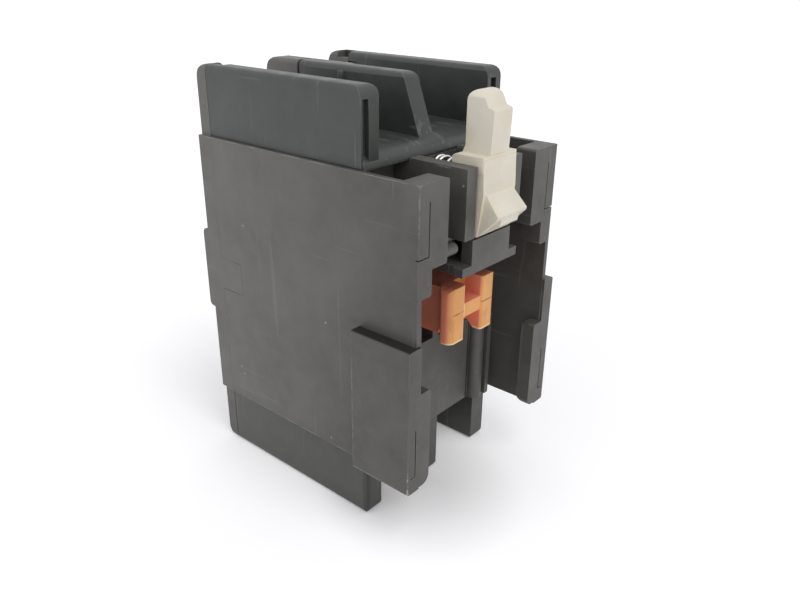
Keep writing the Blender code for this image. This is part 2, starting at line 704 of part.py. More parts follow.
def add_plate_details(frame):
    """Ribs, posts and grooves of the plate that meets the contactor."""
    inside = MATING_FACE - 1.5
    foot = PLATE_TOP - PAST / 2
    join(frame, box(-0.5, 0.5, inside, MATING_FACE, foot, RIB_TOP))
    join(frame, *both_sides(lambda: box(
        STEM_HALF_X - 0.525, STEM_HALF_X + 0.175, inside, MATING_FACE, foot, RIB_TOP)))
    join(frame, *both_sides(lambda: round_bar(
        "Z", POST_X, MATING_FACE + 0.3, POST_RADIUS, BAND_BOTTOM, PLATE_TOP, 20)))
    join(frame, *both_sides(lambda: box(
        POST_X + POST_RADIUS + SEAM, POST_X + POST_RADIUS + SEAM + RIB, MATING_FACE - 0.3,
        MATING_FACE + 1.3, BAND_BOTTOM, PLATE_TOP)))
    cut(frame, *both_sides(lambda: box(
        MIDDLE_HALF - SLIDE_CLEAR, NECK_IN - SLIDE_CLEAR, FRAME_WALL_REAR - SEAM,
        MATING_FACE - PLATE_SKIN, BAND_BOTTOM - PAST, PLATE_TOP - 1.65)))
    cut(frame, *both_sides(lambda: box(
        POST_X - POST_RADIUS - 0.35, POST_X - POST_RADIUS - 0.09, MATING_FACE - 0.8,
        MATING_FACE + PAST, BAND_BOTTOM - PAST, PLATE_TOP + PAST)))


def cut_slits(frame):
    """Narrow marks in the ends of the legs, each with a short turn towards the outer corner."""
    upper_front = LEG_END - SLIT_DEPTH
    lower_front = LOW_LEG_END - SLIT_DEPTH
    cut(frame, *both_sides(lambda: box(
        UPPER_SLIT_X, UPPER_SLIT_X + SLIT, upper_front, LEG_END + PAST,
        UPPER_SLIT_LOW, UPPER_SLIT_HIGH)))
    cut(frame, *both_sides(lambda: box(
        UPPER_SLIT_X, BODY_HALF + PAST, LEG_END - SLIT_NICK, LEG_END + PAST,
        UPPER_SLIT_LOW, UPPER_SLIT_LOW + SLIT)))
    cut(frame, *both_sides(lambda: box(
        LOWER_SLIT_X, LOWER_SLIT_X + SLIT, lower_front, LOW_LEG_END + PAST,
        LOWER_SLIT_LOW, LOWER_SLIT_HIGH)))
    cut(frame, *both_sides(lambda: box(
        LOWER_SLIT_X, LOWER_SLIT_X + 0.8, LOW_LEG_END - SLIT_NICK, LOW_LEG_END + PAST,
        LOWER_SLIT_LOW, LOWER_SLIT_LOW + SLIT)))


def make_frame():
    """Outer moulding on the contactor side: side walls, clip legs, plate, webs and bar."""
    frame = box(-FUSE_X, FUSE_X, FRAME_WALL_FRONT, FRAME_WALL_REAR, BAND_BOTTOM, BAND_TOP - 2 * SEAM)
    join(frame, box(-FUSE_X, FUSE_X, FRAME_WALL_FRONT, MATING_FACE, BAND_BOTTOM, PLATE_TOP))
    join(frame, *both_sides(lambda: box(
        WALL_IN, BODY_HALF, LIP_DEPTH + HAIR_SEAM, LEG_END, BAND_BOTTOM, BAND_TOP)))
    for side in (1, -1):
        join(frame, *[mirrored(item, side) for item in make_leg()])
    add_latch_carrier(frame)
    add_plate_details(frame)
    join(frame, round_bar("X", BOSS_Y, BOSS_Z, BOSS_RADIUS, BOSS_TIP, FLANGE_IN + 0.6, 16, 0.2))
    cut(frame, box(-STEM_HALF_X - SLIDE_CLEAR, STEM_HALF_X + SLIDE_CLEAR, FRAME_WALL_FRONT - PAST,
                   FRAME_WALL_REAR + PAST - SEAM, MID_Z - STEM_HALF_Z - SLIDE_CLEAR,
                   MID_Z + STEM_HALF_Z + SLIDE_CLEAR))
    cut(frame, *both_sides(lambda: box(
        WALL_IN - PAST, BODY_HALF + PAST, LIP_DEPTH - PAST, TAB_DEPTH + HAIR_SEAM,
        MID_Z - TAB_HALF - HAIR_SEAM, MID_Z + TAB_HALF + HAIR_SEAM)))
    cut_slits(frame)
    return frame


def round_head_corners(carrier):
    """Round the upper outer corners of the head."""
    top = MID_Z + HEAD_HALF_Z
    corner = [(HEAD_HALF_X + PAST, top + PAST), (HEAD_HALF_X - HEAD_ROUND, top + PAST)]
    for step in range(6):
        angle = math.radians(90 - 90 * step / 5)
        corner.append((
            HEAD_HALF_X - HEAD_ROUND + HEAD_ROUND * math.cos(angle),
            top - HEAD_ROUND + HEAD_ROUND * math.sin(angle),
        ))
    corner.append((HEAD_HALF_X + PAST, top - HEAD_ROUND))
    cut(carrier, *both_sides(lambda: prism("Y", corner, STEM_END, HEAD_END + PAST)))


def make_carrier():
    """Orange slide: stem, wings with bridge windows, spring lugs and H-shaped head."""
    carrier = box(-STEM_HALF_X, STEM_HALF_X, STEM_FRONT, STEM_END,
                  MID_Z - STEM_HALF_Z, MID_Z + STEM_HALF_Z)
    join(carrier, box(-WING_HALF_X, WING_HALF_X, STEM_FRONT, WING_REAR,
                      MID_Z - WING_HALF_Z, MID_Z + WING_HALF_Z))
    cut(carrier, *both_sides(lambda: box(
        POLE_X - WINDOW_HALF_X, POLE_X + WINDOW_HALF_X, WINDOW_FRONT, WINDOW_REAR,
        MID_Z - WING_HALF_Z - PAST, MID_Z + WING_HALF_Z + PAST)))
    lug_half_x = STEM_HALF_X - 0.8
    join(carrier, box(-lug_half_x, lug_half_x, LUG_REAR - LUG_THICK, LUG_REAR,
                      MID_Z - LUG_HALF_Z, MID_Z + LUG_HALF_Z))
    join(carrier, *top_and_bottom(lambda: round_bar(
        "Y", 0, MID_Z + RETURN_OFFSET, RETURN_RADIUS - 0.55, LUG_REAR - PAST / 2,
        LUG_REAR + PAST, 16, SLIDE_CLEAR)))
    join(carrier, *both_sides(lambda: box(
        HEAD_GAP_HALF, STEM_HALF_X, STEM_END - PAST / 2, STEM_END + 0.6,
        MID_Z - STEM_HALF_Z, MID_Z + STEM_HALF_Z)))
    pad = rounded([
        (HEAD_GAP_HALF, STEM_END + 0.2, 0),
        (STEM_HALF_X, STEM_END + 0.2, 0),
        (HEAD_HALF_X, STEM_END + 1.0, 0.3),
        (HEAD_HALF_X, HEAD_END, 0.85),
        (HEAD_GAP_HALF, HEAD_END, 0.35),
    ], 4)
    join(carrier, *both_sides(lambda: prism(
        "Z", pad, MID_Z - HEAD_HALF_Z, MID_Z + HEAD_HALF_Z)))
    join(carrier, box(-HEAD_GAP_HALF - 0.3, HEAD_GAP_HALF + 0.3, STEM_END - 0.3, HEAD_END - 0.2,
                      MID_Z - 0.7, MID_Z + 0.9))
    low = MID_Z - HEAD_HALF_Z
    cut(carrier, prism("X", [
        (STEM_END - 0.2, low - PAST),
        (STEM_END + 1.3, low - PAST),
        (STEM_END + 1.3, low),
        (STEM_END + 0.2, low + 1.1),
        (STEM_END - 0.2, low + 0.1),
    ], -HEAD_HALF_X - PAST, HEAD_HALF_X + PAST))
    round_head_corners(carrier)
    return carrier


def latch_arm():
    """Side view of the arm from the pivot eye up to the latch plate."""
    eye = Vector((PIVOT_Y, PIVOT_Z))
    end = Vector((LATCH_FRONT + 0.7, LATCH_BOTTOM + 1.7))
    lean = math.atan2(end.y - eye.y, end.x - eye.x)
    half = Vector((-math.sin(lean), math.cos(lean))) * EYE_RADIUS
    outline = [tuple(end - half), tuple(end + half)]
    for step in range(9):
        angle = lean + math.radians(90 + 180 * step / 8)
        outline.append((eye.x + EYE_RADIUS * math.cos(angle), eye.y + EYE_RADIUS * math.sin(angle)))
    return outline


def add_tooth(latch):
    """Wedge across the plate that hooks over the contactor's edge, with a rib below it."""
    inside = LATCH_FRONT + 0.6
    edge_z = TOOTH_Z - 0.3
    join(latch, hull([
        (side * x, y, z)
        for side in (1, -1)
        for x, y, z in (
            (TOOTH_HALF - 0.28, LATCH_REAR, FOLD_Z),
            (TOOTH_HALF - 0.28, inside, FOLD_Z),
            (TOOTH_HALF, TOOTH_TIP, TOOTH_Z),
            (TOOTH_HALF, TOOTH_TIP - 0.08, edge_z),
            (LATCH_HALF - 0.03, LATCH_HEEL, LATCH_BOTTOM),
            (LATCH_HALF - 0.03, inside, LATCH_BOTTOM),
        )
    ]))
    join(latch, hull([
        (side * FINGER_HALF, y, z)
        for side in (1, -1)
        for y, z in (
            (TOOTH_TIP - 0.18, edge_z),
            (TOOTH_TIP - 0.38, edge_z - 0.9),
            (LATCH_HEEL + 0.25, LATCH_BOTTOM + 0.3),
            (LATCH_HEEL - 0.45, LATCH_BOTTOM + 0.8),
            (LATCH_HEEL - 0.45, edge_z),
        )
    ]))


def make_latch():
    """Cream release latch: finger, shelf, plate, tooth, arm and trunnions."""
    latch = prism("X", [
        (LATCH_FRONT, LATCH_BOTTOM),
        (LATCH_HEEL, LATCH_BOTTOM),
        (LATCH_REAR, FOLD_Z),
        (LATCH_REAR - 0.15, SHELF_TOP - 0.3),
        (LATCH_FRONT, SHELF_TOP - 0.3),
    ], -LATCH_HALF, LATCH_HALF)
    add_tooth(latch)
    join(latch, prism("X", latch_arm(), -LATCH_HALF + 0.03, LATCH_HALF - 0.03))
    join(latch, round_bar("X", PIVOT_Y, PIVOT_Z, TRUNNION_RADIUS, -TRUNNION_END, TRUNNION_END,
                          20, TURN_CLEAR))
    join(latch, prism("X", rounded([
        (SHELF_FRONT, SHELF_BOTTOM, 0.3),
        (LATCH_REAR - 0.2, SHELF_BOTTOM, 0),
        (LATCH_REAR - 0.2, SHELF_TOP, 0),
        (SHELF_FRONT, SHELF_TOP, 0.45),
    ], 4), -SHELF_HALF, SHELF_HALF))
    join(latch, box(-SHELF_HALF + 1.0, SHELF_HALF - 1.0, SHELF_FRONT, LATCH_FRONT + 0.3,
                    LATCH_SPRING_Z - LATCH_SPRING_RADIUS - 0.3, SHELF_BOTTOM + 0.4))
    step_y = LATCH_REAR - 0.8
    step_z = FINGER_TOP - 1.55
    side_view = rounded([
        (LATCH_REAR - 0.3, SHELF_TOP - 0.6, 0),
        (FINGER_FRONT + 0.2, SHELF_TOP - 0.6, 0),
        (FINGER_FRONT - 0.3, SHELF_TOP, 0),
        (FINGER_FRONT, SHELF_TOP + 0.7, 0),
        (FINGER_FRONT, FINGER_TOP, 1.1),
        (step_y - 0.75, FINGER_TOP, 0.9),
        (step_y, step_z, 0.3),
        (LATCH_REAR - 0.13, step_z - 0.15, 0.25),
        (LATCH_REAR - 0.1, step_z - 0.8, 0),
    ])
    end_view = rounded([
        (-FINGER_HALF, SHELF_BOTTOM + 0.3, 0),
        (FINGER_HALF, SHELF_BOTTOM + 0.3, 0),
        (FINGER_HALF, FINGER_TOP + 0.02, 0.8),
        (-FINGER_HALF, FINGER_TOP + 0.02, 0.8),
    ])
    join(latch, crossed(
        prism("X", side_view, -FINGER_HALF - PAST, FINGER_HALF + PAST),
        prism("Y", end_view, SHELF_FRONT, LATCH_REAR + PAST)))
    return latch


def make_strip():
    """Bent contact strip: screw plate, riser and the arm that carries the fixed tip."""
    end = MID_Z + SCREW_OFFSET + WASHER_HALF
    strip = prism("X", rounded([
        (PLATE_FRONT, end - 0.2, 0.2),
        (PLATE_FRONT, MID_Z + RISER_Z, 0.9),
        (ARM_REAR, MID_Z + RISER_Z, 0),
        (ARM_REAR, MID_Z + RISER_Z + STRIP_THICK, 0),
        (PLATE_REAR, MID_Z + RISER_Z + STRIP_THICK, 0),
        (PLATE_REAR, end - 0.2, 0.2),
    ], 3), POLE_X - NECK_HALF, POLE_X + NECK_HALF)
    join(strip, box(POLE_X - WASHER_HALF, POLE_X + WASHER_HALF, PLATE_FRONT, PLATE_REAR,
                    MID_Z + RECESS_HALF_Z + WASHER_END, end - SEAM))
    join(strip, box(POLE_X - ARM_HALF, POLE_X + ARM_HALF, ARM_FRONT, ARM_REAR, MID_Z + ARM_LOW,
                    MID_Z + RISER_Z + STRIP_THICK / 2))
    cut(strip, round_bar("Y", POLE_X, MID_Z + SCREW_OFFSET, SCREW_RADIUS + TURN_CLEAR,
                         PLATE_FRONT - PAST, PLATE_REAR + PAST, 24))
    return strip


def make_washer():
    low = MID_Z + SCREW_OFFSET - WASHER_HALF
    high = MID_Z + SCREW_OFFSET + WASHER_HALF
    washer = prism("Y", rounded([
        (POLE_X - WASHER_HALF, low, 0.6),
        (POLE_X + WASHER_HALF, low, 0.6),
        (POLE_X + WASHER_HALF, high, 0.6),
        (POLE_X - WASHER_HALF, high, 0.6),
    ], 2), WASHER_FRONT, WASHER_REAR)
    cut(washer, round_bar("Y", POLE_X, MID_Z + SCREW_OFFSET, SCREW_RADIUS + TURN_CLEAR,
                          WASHER_FRONT - PAST, WASHER_REAR + PAST, 24))
    return washer


def make_screw():
    """Terminal screw with a slot and a shorter cross slot."""
    height = MID_Z + SCREW_OFFSET
    screw = round_bar("Y", POLE_X, height, HEAD_RADIUS, SCREW_HEAD_FRONT, WASHER_FRONT, 28, 0.35)
    join(screw, round_bar("Y", POLE_X, height, SCREW_RADIUS, WASHER_FRONT - PAST, SCREW_END, 24, 0.4))
    slot_front = SCREW_HEAD_FRONT - PAST
    slot_rear = SCREW_HEAD_FRONT + SLOT_DEPTH
    cut(screw, box(POLE_X - HEAD_RADIUS - PAST, POLE_X + HEAD_RADIUS + PAST, slot_front, slot_rear,
                   height - SLOT_HALF, height + SLOT_HALF))
    cut(screw, box(POLE_X - SLOT_HALF, POLE_X + SLOT_HALF, slot_front, slot_rear,
                   height - SCREW_RADIUS, height + SCREW_RADIUS))
    return screw


clear_scene()
ROOT = bpy.data.objects.new("block_origin", None)
bpy.context.scene.collection.objects.link(ROOT)
ROOT.location = (0.0, FRONT_Y * MM, 0.0)

BLACK = make_material("black_plastic", (0.035, 0.034, 0.033), 0.5, 0.0)
ORANGE = make_material("orange_plastic", (0.62, 0.19, 0.07), 0.45, 0.0)
CREAM = make_material("cream_plastic", (0.72, 0.66, 0.55), 0.45, 0.0)
SPRING = make_material("spring_steel", (0.62, 0.62, 0.62), 0.25, 1.0)
BRASS = make_material("brass", (0.75, 0.56, 0.28), 0.35, 1.0)
SILVER = make_material("silver_contact", (0.8, 0.79, 0.76), 0.3, 1.0)
ZINC = make_material("zinc_steel", (0.6, 0.61, 0.62), 0.35, 1.0)

finish(make_cover(), "front_cover", BLACK)
finish(make_housing(), "terminal_housing", BLACK)
finish(make_frame(), "mating_frame", BLACK)
CARRIER = finish(make_carrier(), "contact_carrier", ORANGE, (0.0, STEM_FRONT, MID_Z))
LATCH = finish(make_latch(), "release_latch", CREAM, (0.0, PIVOT_Y, PIVOT_Z))
finish(coil(0, LATCH_SPRING_Z, SPRING_SEAT, SHELF_FRONT - TOUCH_GAP, LATCH_SPRING_RADIUS,
            LATCH_WIRE, 4.5), "latch_spring", SPRING,
       (0.0, SPRING_SEAT, LATCH_SPRING_Z), smooth=True)

for word, z_sign in (("upper", 1), ("lower", -1)):
    height = MID_Z + z_sign * RETURN_OFFSET
    finish(coil(0, height, LUG_REAR + TOUCH_GAP, CHAMBER_REAR - TOUCH_GAP, RETURN_RADIUS,
                RETURN_WIRE, 6.5), "return_spring_" + word, SPRING,
           (0.0, CHAMBER_REAR - TOUCH_GAP, height), smooth=True)

for side, x_sign in (("right", 1), ("left", -1)):
    pole = x_sign * POLE_X
    bridge = finish(
        box(pole - BRIDGE_HALF_X, pole + BRIDGE_HALF_X, BRIDGE_FRONT, BRIDGE_REAR,
            MID_Z - BRIDGE_HALF_Z, MID_Z + BRIDGE_HALF_Z),
        "contact_bridge_" + side, BRASS, (pole, BRIDGE_REAR, MID_Z), CARRIER)
    finish(coil(pole, MID_Z, WINDOW_FRONT + TOUCH_GAP, BRIDGE_FRONT - TOUCH_GAP,
                CONTACT_SPRING_RADIUS, CONTACT_WIRE, 6.0, 12),
           "contact_spring_" + side, SPRING, (pole, WINDOW_FRONT + TOUCH_GAP, MID_Z), CARRIER,
           smooth=True)
    for word, z_sign in (("upper", 1), ("lower", -1)):
        place_name = word + "_" + side
        tip_z = MID_Z + z_sign * TIP_OFFSET
        finish(round_bar("Y", pole, tip_z, TIP_RADIUS, BRIDGE_REAR, BRIDGE_REAR + TIP_THICK, 20),
               "bridge_tip_" + place_name, SILVER, (pole, BRIDGE_REAR, tip_z), bridge, smooth=True)
        finish(round_bar("Y", pole, tip_z, TIP_RADIUS, FIXED_TIP_FACE, ARM_FRONT, 20),
               "fixed_tip_" + place_name, SILVER, (pole, ARM_FRONT, tip_z), smooth=True)
        screw_z = MID_Z + z_sign * SCREW_OFFSET
        finish(mirrored(make_strip(), x_sign, z_sign), "fixed_contact_" + place_name, BRASS,
               (pole, PLATE_FRONT, screw_z))
        washer = finish(mirrored(make_washer(), x_sign, z_sign), "clamp_washer_" + place_name, ZINC,
                        (pole, WASHER_REAR, screw_z))
        finish(mirrored(make_screw(), x_sign, z_sign), "terminal_screw_" + place_name, ZINC,
               (pole, WASHER_FRONT, screw_z), washer, smooth=True)

for item in bpy.data.objects:
    if "pivot" in item:
        del item["pivot"]
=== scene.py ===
"""Looks of the clip-on auxiliary contact block: materials, rounded edges, wear, light and camera."""
import math

import bmesh
import bpy
from mathutils import Matrix, Vector


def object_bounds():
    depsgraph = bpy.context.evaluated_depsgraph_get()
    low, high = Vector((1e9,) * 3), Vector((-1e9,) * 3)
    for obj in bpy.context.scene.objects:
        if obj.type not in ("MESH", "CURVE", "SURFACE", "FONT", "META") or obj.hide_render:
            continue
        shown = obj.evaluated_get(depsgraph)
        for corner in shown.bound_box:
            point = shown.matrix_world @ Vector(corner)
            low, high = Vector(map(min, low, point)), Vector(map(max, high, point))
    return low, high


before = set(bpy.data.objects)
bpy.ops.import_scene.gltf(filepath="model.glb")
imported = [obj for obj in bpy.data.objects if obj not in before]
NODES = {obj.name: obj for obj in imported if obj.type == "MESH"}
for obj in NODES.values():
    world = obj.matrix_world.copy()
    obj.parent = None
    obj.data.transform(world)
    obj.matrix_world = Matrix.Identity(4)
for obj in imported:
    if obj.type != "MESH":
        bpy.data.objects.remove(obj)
cad_low, cad_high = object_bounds()

X, Y, Z = 0, 1, 2
MM = 0.001

# Heights and depths on the shells, in millimetres; the tooth's tip is the part's rearmost point
HEIGHT = cad_high[Z] / MM
TOOTH_TIP = 34.68
FRONT_Y = cad_high[Y] - TOOTH_TIP * MM
BAND_BOTTOM = 7.75
BAND_TOP = HEIGHT - BAND_BOTTOM

# The carrier's H-shaped head, in millimetres; its parting line lies just above the middle
HEAD_SEAM_RISE = 0.2
HEAD_SEAM_Z = HEIGHT / 2 + HEAD_SEAM_RISE
HEAD_BOTTOM = 20.8
HEAD_GAP_HALF = 1.55
HEAD_HALF = 4.1

# Single marks, in millimetres: the place as point() takes it, then the reach along x, y and z
BLOCK_CORNER = ((13.25, 32.68, 7.55), (0.5, 0.5, 3.2))
BLOCK_EDGE = ((13.25, 24.87, 16.5), (0.4, 0.4, 9.5))
BLOCK_LEDGE = ((12.55, 28.8, 24.27), (1.6, 6.0, 0.5))
LEG_CORNER = ((11.86, 32.4, 38.5), (0.6, 0.6, 3.4))
SLAB_MARKS = ((0.0, 20.0, 42.0), (9.5, 6.0, 2.0))
LOW_BARRIER_CORNER = ((11.36, 25.1, 4.0), (0.8, 0.7, 7.0))

# Broken lines of scratches: how finely the noise is squeezed along x, y and z
UPRIGHT_LINES = (1500.0, 1500.0, 60.0)
LEVEL_LINES = (1500.0, 70.0, 1500.0)
SLAB_LINES = (1300.0, 220.0, 900.0)
HEAD_LINES = (1600.0, 1600.0, 420.0)

# Thin lines, by the distance from their middle in millimetres: full up to the first, then fading
SEAM_LINE = (0.05, 0.11)
HEAD_RIM_LINE = (0.06, 0.26)
HEAD_SEAM_LINE = (0.05, 0.12)

# The painted sheen at the front between two depths, the painted warm reflection on the foot between
# two heights, in millimetres
SHEEN_START = 4.0
SHEEN_END = 30.0
WARM_REFLECTION_FULL = 5.0
WARM_REFLECTION_END = 9.0

# Marks on the black shells
# Painted warm reflection on the foot
LOW_WARM_REFLECTION = (0.054, 0.051, 0.044)
# Painted highlight with rubbed wear on the seams
SEAM_WEAR_AND_HIGHLIGHT = (0.26, 0.26, 0.25)
PALE_SPECK = (0.42, 0.42, 0.4)
SCUFF = (0.5, 0.49, 0.47)
# Painted shade on the raised block's ledge
LEDGE_PAINTED_SHADE = (0.008, 0.008, 0.007)
# Darker band on the lower barrier's rear corner
LOW_CORNER_DARK = (0.01, 0.01, 0.009)

# The orange carrier: pairs give the darker and the lighter tone of a cloudy colour; the sides and
# the rear are a shaded and a lit copy of the orange, painted light
ORANGE_SHADED_SIDES = ((0.8, 0.245, 0.15), (0.88, 0.3, 0.19))
ORANGE_LIT_REAR = ((0.66, 0.29, 0.075), (0.74, 0.35, 0.1))
ORANGE_RIM = (0.95, 0.66, 0.36)
ORANGE_SEAM = (0.14, 0.045, 0.02)
ORANGE_STREAK = (0.25, 0.1, 0.04)
ORANGE_SMUDGE = (0.3, 0.1, 0.04)

# The cream latch
CREAM_CLEAN = ((0.64, 0.598, 0.492), (0.7, 0.662, 0.56))
CREAM_AGED = (0.66, 0.55, 0.4)
# Painted light shining through the latch's thin edges
CREAM_EDGE_LIGHT = (0.7, 0.6, 0.44)
CREAM_DIRT = (0.3, 0.27, 0.22)

# Gloss and relief of the surfaces, and the way of light inside a plastic: depths in millimetres
GLOSS_SPREAD = 0.14
GRAIN_DEPTH = 0.02
SWELL_DEPTH = 0.2
DRAWN_DEPTH = 0.01
SPREAD_DEPTH = 0.6

# Rounding of edges: widths in millimetres, angles in degrees
EDGE_WIDTHS = {
    "front_cover": 0.09,
    "terminal_housing": 0.1,
    "mating_frame": 0.09,
    "contact_carrier": 0.22,
    "release_latch": 0.2,
}
SMALL_EDGE = 0.07
EDGE_SEGMENTS = 2
EDGE_ANGLE = 28.0
FLAT_ANGLE = 0.6
FLAT_WEIGHT = 90
WELD_DISTANCE = 0.002

# Surround and floor, in metres; the floor is lifted to white, and less so in the contact shadow
WORLD_LEVEL = 0.64
WORLD_COLOR = (0.98, 0.98, 1.0, 1.0)
FLOOR_HALF = 3.0
FLOOR_COLORS = ((0.9, 0.9, 0.91), (0.93, 0.93, 0.94))
FLOOR_LIFT_COLOR = (1.0, 0.99, 1.0, 1.0)
FLOOR_LIFT_NEAR = 0.22
FLOOR_LIFT_FAR = 0.42
LIFT_START = 0.06
LIFT_END = 0.4
SHADOW_CENTRE = (0.004, 0.0105, 0.0)
SHADOW_CORE = 0.003
SHADOW_REACH = 0.0125
SHADOW_SHARE = 0.05

# Lamps, in metres and watts
LAMP_SIZE = 0.3
LAMP_TARGET = (0.0, 0.0, 0.02)
KEY_PLACE = (0.42, -0.12, 0.24)
KEY_POWER = 0.42
FILL_PLACE = (0.05, 0.28, 0.42)
FILL_POWER = 0.9

# Camera: place as point() takes it, angles in degrees, focal length in pixels of the photograph
CAMERA_PLACE = (61.962, 73.019, 57.910)
CAMERA_AZIMUTH = 130.499
CAMERA_ELEVATION = 23.887
CAMERA_ROLL = 0.571
FOCAL_PIXELS = 755.126
PHOTO_WIDTH = 800.0
SENSOR_WIDTH = 36.0
NEAR_CLIP = 0.005
FAR_CLIP = 20.0


def point(x, depth, height):
    """A point from millimetres: right of the middle, behind the front plane, above the foot."""
    return Vector((x * MM, FRONT_Y + depth * MM, height * MM))


class Graph:
    """Adds and links the shader nodes of one material or of the world."""

    # Sockets of the Mix node that carry its two colours, and the one that gives the result
    MIX_FIRST = 6
    MIX_SECOND = 7
    MIX_COLOR = 2
    SCRATCH_SOFTNESS = 0.03

    def __init__(self, owner, shader="Principled BSDF"):
        owner.use_nodes = True
        self.owner = owner
        self.tree = owner.node_tree
        self.shader = self.tree.nodes[shader]

    def add(self, kind, **values):
        node = self.tree.nodes.new(kind)
        for key, value in values.items():
            setattr(node, key, value)
        return node

    def link(self, source, target):
        self.tree.links.new(source, target)

    def feed(self, name, source):
        """Link a socket of the shader."""
        self.link(source, self.shader.inputs[name])

    def hold(self, name, value):
        """Set a socket of the shader to one value for the whole surface."""
        self.shader.inputs[name].default_value = value

    def position(self):
        return self.add("ShaderNodeNewGeometry").outputs["Position"]

    def place(self, stretch=None):
        """Coordinates for a pattern, squeezed along each axis where a stretch is given."""
        source = self.add("ShaderNodeTexCoord").outputs["Object"]
        if stretch is None:
            return source
        mapping = self.add("ShaderNodeMapping")
        mapping.inputs["Scale"].default_value = stretch
        self.link(source, mapping.inputs["Vector"])
        return mapping.outputs["Vector"]

    def noise(self, scale, detail=3.0, roughness=0.5, stretch=None):
        node = self.add("ShaderNodeTexNoise")
        node.inputs["Scale"].default_value = scale
        node.inputs["Detail"].default_value = detail
        node.inputs["Roughness"].default_value = roughness
        self.link(self.place(stretch), node.inputs["Vector"])
        return node.outputs["Fac"]

    def span(self, value, low, high, to_low=0.0, to_high=1.0):
        """Rescale a value from low and high to to_low and to_high, held at both ends."""
        node = self.add("ShaderNodeMapRange")
        node.inputs["From Min"].default_value = low
        node.inputs["From Max"].default_value = high
        node.inputs["To Min"].default_value = to_low
        node.inputs["To Max"].default_value = to_high
        self.link(value, node.inputs["Value"])
        return node.outputs["Result"]

    def fall(self, value, low, high, top=1.0):
        """A mask that is at its top up to low and falls to nothing at high."""
        return self.span(value, low, high, top, 0.0)

    def line(self, distance, widths, top=1.0):
        """A thin line, from the distance to its middle."""
        full, gone = widths
        return self.fall(distance, full * MM, gone * MM, top)

    def mix(self, factor, first, second):
        node = self.add("ShaderNodeMix", data_type="RGBA")
        self.link(factor, node.inputs[0])
        for index, value in ((self.MIX_FIRST, first), (self.MIX_SECOND, second)):
            if isinstance(value, tuple):
                node.inputs[index].default_value = (*value, 1.0)
            else:
                self.link(value, node.inputs[index])
        return node.outputs[self.MIX_COLOR]

    def cover(self, color, mark, *masks, strength):
        """Lay the colour of a mark over another one where all its masks are one."""
        return self.mix(self.times(*masks, strength), color, mark)

    def maths(self, operation, first, second=0.0):
        node = self.add("ShaderNodeMath", operation=operation)
        for index, value in enumerate((first, second)):
            if isinstance(value, (int, float)):
                node.inputs[index].default_value = value
            else:
                self.link(value, node.inputs[index])
        return node.outputs[0]

    def fold(self, operation, values):
        """Join several masks and plain numbers by one operation."""
        total = values[0]
        for value in values[1:]:
            total = self.maths(operation, total, value)
        return total

    def times(self, *values):
        return self.fold("MULTIPLY", values)

    def largest(self, *values):
        return self.fold("MAXIMUM", values)

    def away(self, value, place=0.0):
        """Distance of a coordinate from a place on its axis."""
        return self.maths("ABSOLUTE", self.maths("SUBTRACT", value, place))

    def bump(self, height, strength, distance, normal=None):
        node = self.add("ShaderNodeBump")
        node.inputs["Strength"].default_value = strength
        node.inputs["Distance"].default_value = distance
        self.link(height, node.inputs["Height"])
        if normal is not None:
            self.link(normal, node.inputs["Normal"])
        return node.outputs["Normal"]

    def along(self, source, axis):
        """One coordinate of the shaded point's Position or Normal."""
        geometry = self.add("ShaderNodeNewGeometry")
        split = self.add("ShaderNodeSeparateXYZ")
        self.link(geometry.outputs[source], split.inputs[0])
        return split.outputs[axis]

    def edges(self, radius, start=0.004, full=0.05):
        """One on the rims of the shape, within a radius in millimetres, and nothing on its flats."""
        soft = self.add("ShaderNodeBevel", samples=4)
        soft.inputs["Radius"].default_value = radius * MM
        geometry = self.add("ShaderNodeNewGeometry")
        dot = self.add("ShaderNodeVectorMath", operation="DOT_PRODUCT")
        self.link(soft.outputs["Normal"], dot.inputs[0])
        self.link(geometry.outputs["Normal"], dot.inputs[1])
        turned = self.maths("SUBTRACT", 1.0, dot.outputs["Value"])
        return self.span(turned, start, full)

    def near(self, centre, reach, core=0.6):
        """One at a place on the part, falling to nothing at its reach along each axis."""
        shift = self.add("ShaderNodeVectorMath", operation="SUBTRACT")
        self.link(self.position(), shift.inputs[0])
        shift.inputs[1].default_value = point(*centre)
        scale = self.add("ShaderNodeVectorMath", operation="MULTIPLY")
        self.link(shift.outputs[0], scale.inputs[0])
        scale.inputs[1].default_value = [1 / (length * MM) for length in reach]
        return self.fall(self.length(scale.outputs[0]), core, 1.0)

    def length(self, vector):
        node = self.add("ShaderNodeVectorMath", operation="LENGTH")
        self.link(vector, node.inputs[0])
        return node.outputs["Value"]

    def distance(self, place):
        """Distance of the shaded point from a place in metres."""
        node = self.add("ShaderNodeVectorMath", operation="DISTANCE")
        self.link(self.position(), node.inputs[0])
        node.inputs[1].default_value = place
        return node.outputs["Value"]

    def specks(self, scale, size, share):
        """Small round marks in a share of the cells of a grid."""
        cells = self.add("ShaderNodeTexVoronoi")
        cells.inputs["Scale"].default_value = scale
        self.link(self.place(), cells.inputs["Vector"])
        split = self.add("ShaderNodeSeparateColor")
        self.link(cells.outputs["Color"], split.inputs[0])
        chosen = self.maths("GREATER_THAN", split.outputs[0], 1.0 - share)
        return self.times(chosen, self.fall(cells.outputs["Distance"], size * 0.5, size))

    def scratches(self, stretch, threshold):
        """Thin broken lines along the direction that is squeezed least."""
        lines = self.noise(1.0, detail=1.0, stretch=stretch)
        return self.span(lines, threshold, threshold + self.SCRATCH_SOFTNESS)


def new_look(name):
    return Graph(bpy.data.materials.new(name))


